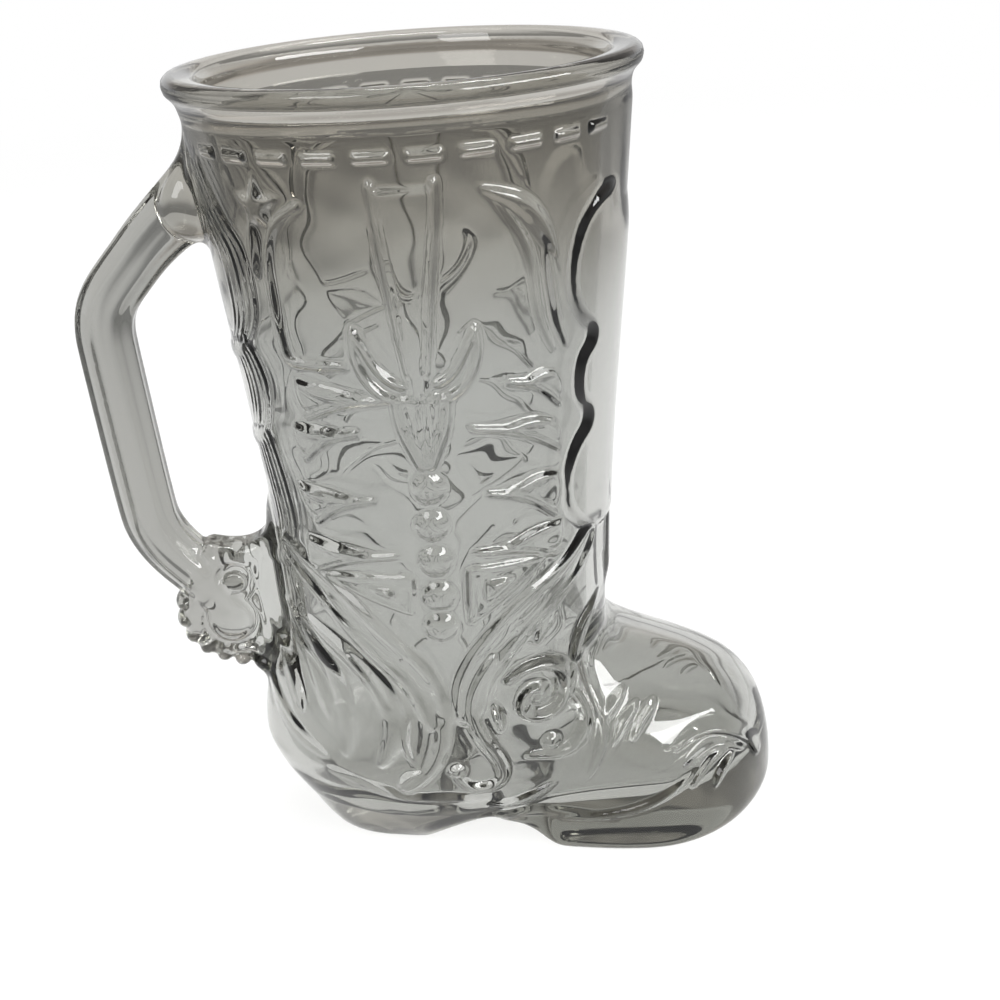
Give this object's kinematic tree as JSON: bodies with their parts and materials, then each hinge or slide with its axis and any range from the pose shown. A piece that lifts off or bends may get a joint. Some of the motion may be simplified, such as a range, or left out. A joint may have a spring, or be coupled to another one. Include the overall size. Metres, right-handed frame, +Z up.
{
  "type": "beer boot glass",
  "caption": "Pressed-glass beer mug shaped like a western boot, with a rolled lip, an angular bar handle, a spur at its foot and raised boot ornament.",
  "frame": {"origin": "on the flat base, below the axis of the round shaft", "axes": "+Z up along the axis of the shaft, +X towards the toe, the handle at -X, the plane of symmetry at y = 0"},
  "size_m": [0.1362, 0.089, 0.16],
  "materials": {
    "clear_glass": "fire-polished clear glass",
    "thick_glass": "thick fire-polished clear glass, faintly grey-green",
    "relief_glass": "raised clear glass ornament with soft pressed edges"
  },
  "bodies": {
    "root": {"rim_lip": "relief_glass", "shaft_wall": "clear_glass", "toe_box": "thick_glass", "heel_counter": "thick_glass", "heel_base": "thick_glass", "arch_shank": "thick_glass", "outsole": "thick_glass", "upper_arm": "clear_glass", "upper_elbow": "clear_glass", "grip": "clear_glass", "lower_elbow": "clear_glass", "lower_arm": "clear_glass", "handle_lug": "clear_glass", "spur_shank": "clear_glass", "spur_rowel": "clear_glass", "rowel_teeth": "relief_glass", "right_rowel_lens": "relief_glass", "left_rowel_lens": "relief_glass", "stitch_row": "relief_glass", "front_strip": "clear_glass", "back_border": "clear_glass", "right_pull_strap": "clear_glass", "left_pull_strap": "clear_glass", "right_steer_head": "relief_glass", "left_steer_head": "relief_glass", "right_studs": "relief_glass", "left_studs": "relief_glass", "right_front_flames": "clear_glass", "left_front_flames": "clear_glass", "right_back_flames": "clear_glass", "left_back_flames": "clear_glass", "right_triangles": "clear_glass", "left_triangles": "clear_glass", "right_yoke": "clear_glass", "left_yoke": "clear_glass", "right_star": "relief_glass", "left_star": "relief_glass", "right_swag": "clear_glass", "left_swag": "clear_glass", "right_panel_edge": "clear_glass", "left_panel_edge": "clear_glass", "right_piping": "relief_glass", "left_piping": "relief_glass", "right_spiral": "relief_glass", "left_spiral": "relief_glass", "right_heel_scroll": "relief_glass", "left_heel_scroll": "relief_glass", "right_welt": "clear_glass", "left_welt": "clear_glass", "right_vamp_leaves": "relief_glass", "left_vamp_leaves": "relief_glass"}
  },
  "joints": []
}
